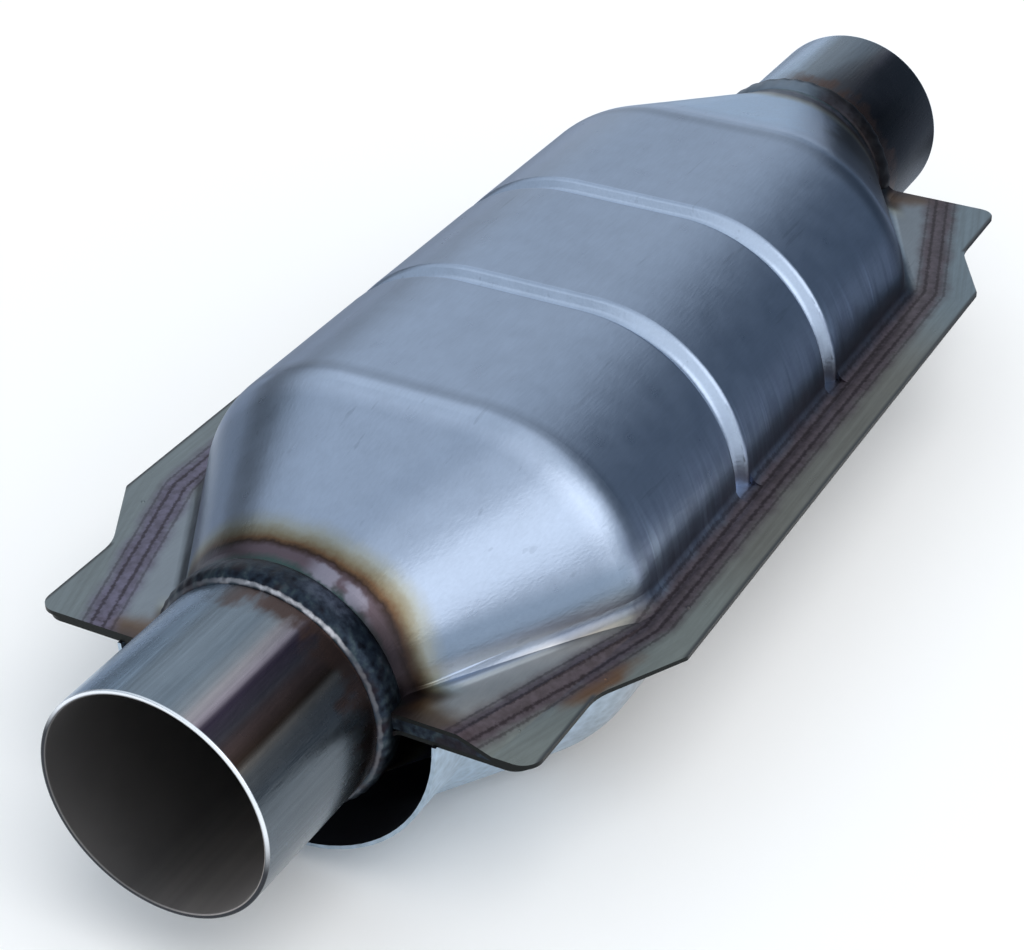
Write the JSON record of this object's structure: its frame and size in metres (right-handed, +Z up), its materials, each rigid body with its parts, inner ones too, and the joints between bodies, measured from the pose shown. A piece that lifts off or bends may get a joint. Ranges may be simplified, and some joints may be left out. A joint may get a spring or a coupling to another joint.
{
  "type": "catalytic converter",
  "caption": "Oval clamshell exhaust catalyst canister with a wide seam flange, tapered ends, slip-on pipe stubs and a heat shield under it.",
  "frame": {"origin": "centre of the inlet pipe's mouth", "axes": "+X along the gas flow to the outlet, +Z up, away from the heat shield"},
  "size_m": [0.4064, 0.161, 0.0952],
  "materials": {
    "shell_steel": "mill finish stainless sheet, heat tinted at the necks and seam",
    "pipe_steel": "drawn tube with heat streaks",
    "weld_metal": "dark rippled bead",
    "shield_sheet": "aluminised sheet, matt",
    "catalyst_ceramic": "matt coated honeycomb",
    "mat_fibre": "pressed mineral fibre",
    "seal_wire": "knitted wire rope"
  },
  "bodies": {
    "root": {"upper_half_shell": "shell_steel", "lower_half_shell": "shell_steel", "inlet_pipe": "pipe_steel", "outlet_pipe": "pipe_steel", "inlet_ring_weld": "weld_metal", "outlet_ring_weld": "weld_metal", "front_ear_weld": "weld_metal", "heat_shield": "shield_sheet", "front_brick": "catalyst_ceramic", "rear_brick": "catalyst_ceramic", "front_mat": "mat_fibre", "rear_mat": "mat_fibre", "front_brick_inlet_seal": "seal_wire", "front_brick_outlet_seal": "seal_wire", "rear_brick_inlet_seal": "seal_wire", "rear_brick_outlet_seal": "seal_wire"}
  },
  "joints": []
}
